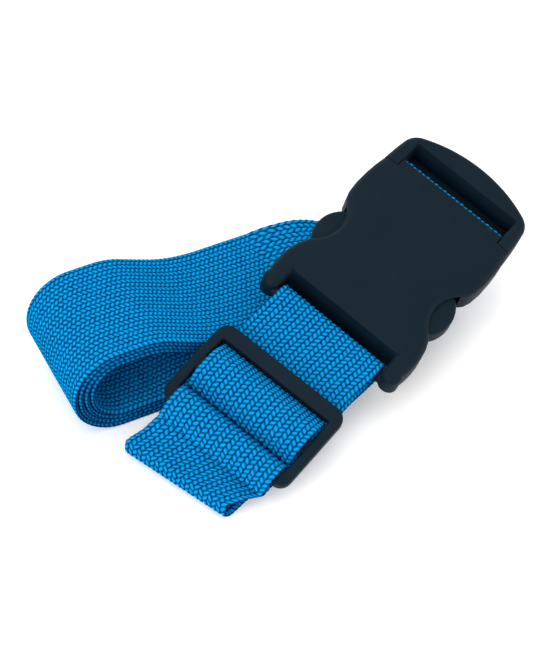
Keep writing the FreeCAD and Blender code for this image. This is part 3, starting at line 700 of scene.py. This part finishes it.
def prism(outline, low, high, rim, rounded=None, segments=4):
    """A block with that outline, its upper and lower rims rounded where rounded(edge) allows."""
    made = bmesh.new()
    base = made.faces.new([made.verts.new((x, y, low)) for x, y in outline])
    raised = bmesh.ops.extrude_face_region(made, geom=[base])
    lifted = [v for v in raised["geom"] if isinstance(v, bmesh.types.BMVert)]
    bmesh.ops.translate(made, verts=lifted, vec=(0.0, 0.0, high - low))
    bmesh.ops.recalc_face_normals(made, faces=made.faces)
    edges = [
        e for e in made.edges
        if abs(e.verts[0].co.z - e.verts[1].co.z) < 1e-6 and (rounded is None or rounded(e))
    ]
    if rim:
        bmesh.ops.bevel(
            made, geom=edges, offset=rim, segments=segments, profile=0.5, affect="EDGES",
            clamp_overlap=False, material=-1,
        )
    return made


def moulding(name, made):
    """A block as an object of its own, in its frame and still in millimetres."""
    mesh = bpy.data.meshes.new(name)
    made.to_mesh(mesh)
    made.free()
    return new_object(name, mesh, moulded, smooth=False)


SHARP = math.radians(32.0)


def settle(target, placed, body, node):
    """Put a finished moulding where it lies, smooth it and hand it to its body."""
    target.data.transform(Matrix.Scale(MM, 4) @ placed)
    target.data.polygons.foreach_set("use_smooth", [True] * len(target.data.polygons))
    target.data.set_sharp_from_angle(angle=SHARP)
    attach(target, body)
    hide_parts(node)


def block(x0, x1, y0, y1, z0, z1, rim=0.0):
    """A plain box as a prism."""
    return prism([(x0, y0), (x1, y0), (x1, y1), (x0, y1)], z0, z1, rim)


def carve(target, cutter, operation="DIFFERENCE"):
    """Cut one object from another, or join it on, and remove the second."""
    change = target.modifiers.new("carve", "BOOLEAN")
    change.object = cutter
    change.operation = operation
    change.solver = "EXACT"
    bpy.context.view_layer.update()
    seen = bpy.context.evaluated_depsgraph_get()
    mesh = bpy.data.meshes.new_from_object(target.evaluated_get(seen))
    target.modifiers.clear()
    old = target.data
    target.data = mesh
    bpy.data.meshes.remove(old)
    bpy.data.objects.remove(cutter)


def flared_slot(x0, x1, half, depth, flare):
    """A slot's cutter, flaring at the top and bottom so that the slot's rims come out rounded."""
    made = bmesh.new()
    steps = [math.radians(90.0 * step / 5) for step in range(6)]
    top = [(-flare * (1 - math.cos(a)), flare * (1 - math.sin(a))) for a in steps]
    bottom = [(-depth - z, out) for z, out in reversed(top)]
    levels = [(1.0, flare)] + top + bottom + [(-depth - 1.0, flare)]
    corner = 1.2
    loops = []
    for z, out in levels:
        ring = []
        for cx, cy, first in (
            (x1 - corner, half - corner, 0), (x0 + corner, half - corner, 90),
            (x0 + corner, -half + corner, 180), (x1 - corner, -half + corner, 270),
        ):
            ring += [(x, y, z) for x, y in arc((cx, cy), corner + out, first, first + 90, 4)]
        loops.append([made.verts.new(p) for p in ring])
    for one, two in zip(loops, loops[1:]):
        for i in range(len(one)):
            j = (i + 1) % len(one)
            made.faces.new([one[i], one[j], two[j], two[i]])
    made.faces.new(loops[0])
    made.faces.new(loops[-1])
    bmesh.ops.recalc_face_normals(made, faces=made.faces)
    return made


def rod(x, z, radius, length):
    """A round bar across the frame."""
    made = bmesh.new()
    lay = Matrix.Translation((x, 0.0, z)) @ Matrix.Rotation(math.pi / 2, 4, "X")
    bmesh.ops.create_cone(
        made, cap_ends=True, segments=32, radius1=radius, radius2=radius, depth=length, matrix=lay
    )
    return made


def both_sides(points):
    """A whole outline from its left half, which starts and ends on the middle line."""
    return points + [(x, -y) for x, y in reversed(points) if y > 1e-6]


# Female shell: one moulding with scooped sides for the latch buttons, two wings
# that hold the swivel bar, and a thin lip over the plug's loop of webbing.

SHELL_END = 67.0
half_side = [
    (SHELL_END, 0.0), (SHELL_END, 31.7), (62.0, 32.4), (57.0, 32.8), (50.0, 32.9), (44.5, 32.3),
    (41.4, 31.3),
]
half_side += arc((28.2, 41.0), 16.0, 270 + 47.5, 270 - 47.5, 18)
half_side += [(13.6, 31.6), (10.6, 32.8), (6.6, 33.6), (2.4, 33.9), (-1.8, 33.7), (-4.8, 33.2)]
half_side += arc((-7.0, 29.6), 4.1, 60, 240, 10)
half_side += [(-6.4, 25.8), (-3.0, 25.7), (-0.8, 25.3), (0.0, 24.0), (0.0, 0.0)]


def shell_rim(edge):
    """Every rim but the end at the plug's shoulders and the front edge between the wings."""
    ends = [v.co.x for v in edge.verts]
    at_plug = all(abs(x - SHELL_END) < 0.01 for x in ends)
    return not at_plug and not all(abs(x) < 0.01 for x in ends)


made = prism(both_sides(half_side), -HIGH, 0.0, 2.7, shell_rim, 6)
for cross in (-1.0, -3.0, -5.0, -7.0, -9.0):
    everything = made.verts[:] + made.edges[:] + made.faces[:]
    bmesh.ops.bisect_plane(
        made, geom=everything, dist=1e-5, plane_co=(cross, 0.0, 0.0), plane_no=(1.0, 0.0, 0.0)
    )
bmesh.ops.triangulate(made, faces=[f for f in made.faces if len(f.verts) > 4])
# the wings thin out towards their tips
for vertex in made.verts:
    out = max(0.0, -1.0 - vertex.co.x) / 11.0
    share = math.sqrt(1.0 - 0.6 * min(1.0, out) ** 2)
    vertex.co.z = -HIGH / 2 + (vertex.co.z + HIGH / 2) * share
shell = moulding("female_shell_moulding", made)
carve(shell, moulding("lip", block(60.5, 71.0, -25.15, 25.15, -WALL, -0.02, 0.4)), "UNION")
# the hollow for the plug, the side windows for the latches, and the room below for the loop
for made in (
    block(3.0, 68.0, -29.0, 29.0, WALL - HIGH, -WALL),
    block(14.4, 38.0, -40.0, 40.0, WALL - HIGH, -WALL),
    block(60.0, 80.0, -25.8, 25.8, -20.0, -11.0),
):
    carve(shell, moulding("cutter", made))
carve(shell, moulding("bar", rod(BAR_X, BAR_Z, BAR_ROUND, 56.0)), "UNION")
settle(shell, BUCKLE, "shell", "female_shell")

# Plug: an arched end with a wide slot for the webbing, the bar the loop is sewn
# round, a neck that fills the shell's mouth, and a guiding tongue.

END_ROUND = 60.0
PLUG_END = 91.5
PLUG_START = SHELL_END + CLEAR
half_plug = arc((PLUG_END - END_ROUND, 0.0), END_ROUND, 0, 25.8, 12)
half_plug += arc((78.3, 22.6), 8.0, 25.8, 85, 7)[1:]
half_plug += [(74.0, 31.2), (PLUG_START, 31.7), (PLUG_START, 0.0)]


def plug_rim(edge):
    """Every rim but the shoulders that meet the shell."""
    return not all(abs(v.co.x - PLUG_START) < 0.01 for v in edge.verts)


plug = moulding("plug_moulding", prism(both_sides(half_plug), -HIGH, 0.0, 2.6, plug_rim, 5))
carve(plug, moulding("neck", block(54.0, 69.0, -28.5, 28.5, -11.0, -2.5)), "UNION")
carve(plug, moulding("slot", flared_slot(59.9, 81.5, 25.2, HIGH, 1.3)))
carve(plug, moulding("ledge", block(78.2, 82.5, -26.8, 26.8, -HIGH, WALL - HIGH, 0.5)), "UNION")
carve(plug, moulding("tongue", block(20.0, 60.5, -6.0, 6.0, -8.55, -4.95, 0.6)), "UNION")
carve(plug, moulding("bar", rod(CROSS_X, CROSS_Z, CROSS_ROUND, 53.6)), "UNION")
settle(plug, BUCKLE, "plug", "plug_body")

# Latches: each a springy arm from the plug's neck with a rounded thumb button
# that bulges out through the shell's scooped side.

BUTTON_HALF = 10.8
BULGE = 5.0
button_round = (BUTTON_HALF**2 + BULGE**2) / (2 * BULGE)
button_sweep = math.degrees(math.asin(BUTTON_HALF / button_round))
LATCH_INNER = 22.5
for side, name in ((1, "left"), (-1, "right")):
    first, last = 90 - button_sweep, 90 + button_sweep
    points = arc((26.2, 33.0 - button_round), button_round, first, last, 16)
    points += [(15.4, LATCH_INNER), (37.0, LATCH_INNER)]
    points = [(x, side * y) for x, y in points]
    latch = moulding(f"latch_{name}_moulding", prism(points, -10.95, -2.55, 1.4))
    inner, outer = sorted((side * LATCH_INNER, side * 25.9))
    carve(latch, moulding("arm", block(33.0, 53.4, inner, outer, -9.75, -3.75, 0.5)), "UNION")
    settle(latch, BUCKLE, f"{name}_latch", f"latch_{name}")

# Slide adjuster: a rectangular frame with rounded corners and rims, and a
# centre bar of the same section.


def rounded_box(length, width, corner, inset):
    """A closed ring of points round a rectangle, seven to each corner."""
    x, y = length / 2 - corner, width / 2 - corner
    ring = []
    for cx, cy, first in ((x, y, 0), (-x, y, 90), (-x, -y, 180), (x, -y, 270)):
        ring += arc((cx, cy), corner - inset, first, first + 90, 6)
    return ring


made = bmesh.new()
RIM = 0.9
SHOULDER_HIGH = FRAME_HIGH / 2 - RIM
quarter = [(RIM * (1 - math.sin(a)), RIM * math.cos(a)) for a in np.radians(np.linspace(90, 0, 5))]
outer = [(rounded_box(39.0, 60.0, 5.0, inset), SHOULDER_HIGH + rise) for inset, rise in quarter]
inner = [(rounded_box(26.2, 51.6, 0.8, -inset), SHOULDER_HIGH + rise) for inset, rise in quarter]
rings = outer + inner[::-1] + [(ring, -z) for ring, z in inner + outer[::-1]]
loops = [[made.verts.new((x, y, z)) for x, y in ring] for ring, z in rings]
for one, two in zip(loops, loops[1:] + loops[:1]):
    for i in range(len(one)):
        j = (i + 1) % len(one)
        made.faces.new([one[i], one[j], two[j], two[i]])
bmesh.ops.recalc_face_normals(made, faces=made.faces)
adjuster = moulding("slide_adjuster_moulding", made)
carve(adjuster, moulding("centre_bar", block(-3.3, 3.3, -27.0, 27.0, -2.1, 2.1, 0.8)), "UNION")
settle(adjuster, ADJUSTER, "adjuster", "adjuster_frame")

# ------------------------------------------------------------- floor and light
# A pale sweep of card, lit a little from below as a light table is. A broad soft
# light stands above, with smaller ones to the left, to the right and behind.

card, tree, output = new_material("matt_card")
glow = {"Emission Color": srgb("#FFFFFF"), "Emission Strength": 0.22}
paper = add(
    tree, "ShaderNodeBsdfPrincipled", {"Base Color": srgb("#F4F3F2"), "Roughness": 0.9, **glow}
)
tree.links.new(paper.outputs[0], output.inputs[0])
made = bmesh.new()
bmesh.ops.create_grid(made, x_segments=1, y_segments=1, size=3.0)
mesh = bpy.data.meshes.new("floor")
made.to_mesh(mesh)
made.free()
floor = new_object("floor", mesh, card)

world = bpy.data.worlds.new("studio")
bpy.context.scene.world = world
world.use_nodes = True
world.node_tree.nodes["Background"].inputs[0].default_value = srgb("#FFFFFF")
world.node_tree.nodes["Background"].inputs[1].default_value = 0.85


def soft_light(name, at, size, power):
    """A square light that faces the strap."""
    lamp = bpy.data.lights.new(name, "AREA")
    lamp.size = size
    lamp.energy = power
    made = bpy.data.objects.new(name, lamp)
    made.location = at
    made.rotation_euler = (-Vector(at)).to_track_quat("-Z", "Y").to_euler()
    bpy.context.scene.collection.objects.link(made)


soft_light("light_above", (-0.1, 0.1, 1.1), 1.2, 4.5)
soft_light("light_left", (-0.9, -0.1, 0.5), 0.7, 5.0)
soft_light("light_right", (0.7, -0.8, 0.45), 0.7, 3.0)
soft_light("light_behind", (0.5, 0.9, 0.6), 0.8, 3.0)

# ---------------------------------------------------------------------- camera

DISTANCE = 0.8
target = Vector((-0.01034, -0.00725, 0.015))
azimuth = math.radians(-47.3)
elevation = math.radians(46.0)
forward = Vector(
    (
        -math.sin(azimuth) * math.cos(elevation),
        math.cos(azimuth) * math.cos(elevation),
        -math.sin(elevation),
    )
)
lens = bpy.data.cameras.new("camera")
lens.lens = 111.6
lens.sensor_width = 36.0
camera = bpy.data.objects.new("camera", lens)
camera.location = target - forward * DISTANCE
camera.rotation_euler = forward.to_track_quat("-Z", "Y").to_euler()
bpy.context.scene.collection.objects.link(camera)
bpy.context.scene.camera = camera
bpy.context.scene.view_settings.view_transform = "Standard"
